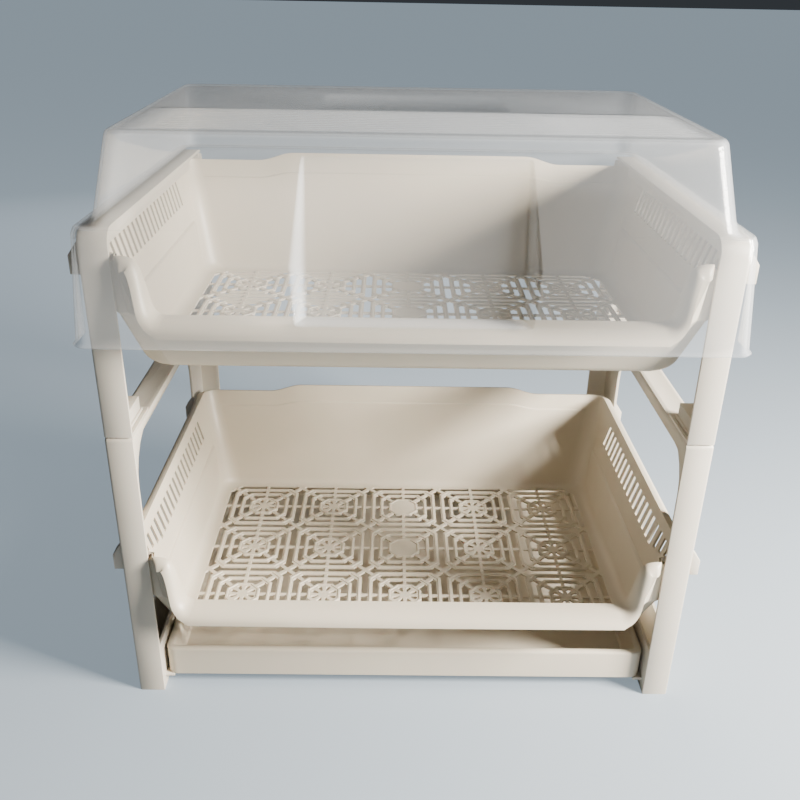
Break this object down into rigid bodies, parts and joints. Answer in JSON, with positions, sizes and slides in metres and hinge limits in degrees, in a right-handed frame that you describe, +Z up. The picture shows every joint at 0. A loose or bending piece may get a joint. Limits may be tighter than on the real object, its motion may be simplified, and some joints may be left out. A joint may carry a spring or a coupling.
{
  "type": "two-tier dish rack",
  "caption": "Two-tier plastic dish rack with open side frames, slotted trays, a sliding drip tray and a see-through lift-off cover.",
  "frame": {"origin": "middle of the rack's outline seen from above, on the floor under the feet", "axes": "+X to the right seen from the front, +Y from the front to the back, +Z up"},
  "size_m": [0.486, 0.366, 0.48],
  "materials": {
    "frame_plastic": "satin moulded polypropylene, cream",
    "tray_plastic": "satin moulded polypropylene, cream",
    "cover_plastic": "milky see-through polypropylene"
  },
  "bodies": {
    "rack": {"lower_left_side_frame": "frame_plastic", "lower_right_side_frame": "frame_plastic", "upper_left_side_frame": "frame_plastic", "upper_right_side_frame": "frame_plastic", "front_left_leg_connector": "frame_plastic", "rear_left_leg_connector": "frame_plastic", "front_right_leg_connector": "frame_plastic", "rear_right_leg_connector": "frame_plastic", "lower_tray": "tray_plastic", "upper_tray": "tray_plastic", "lower_front_left_locking_pin": "frame_plastic", "lower_rear_left_locking_pin": "frame_plastic", "lower_front_right_locking_pin": "frame_plastic", "lower_rear_right_locking_pin": "frame_plastic", "upper_front_left_locking_pin": "frame_plastic", "upper_rear_left_locking_pin": "frame_plastic", "upper_front_right_locking_pin": "frame_plastic", "upper_rear_right_locking_pin": "frame_plastic"},
    "drip_tray": {"drip_tray": "tray_plastic"},
    "cover": {"cover": "cover_plastic"}
  },
  "joints": [
    {"name": "cover_lift", "type": "slide", "parent": "rack", "child": "cover", "axis": [0, 0, 1], "range_m": [0, 0.15]},
    {"name": "drip_tray_slide", "type": "slide", "parent": "rack", "child": "drip_tray", "axis": [0, -1, 0], "range_m": [0, 0.3]}
  ]
}
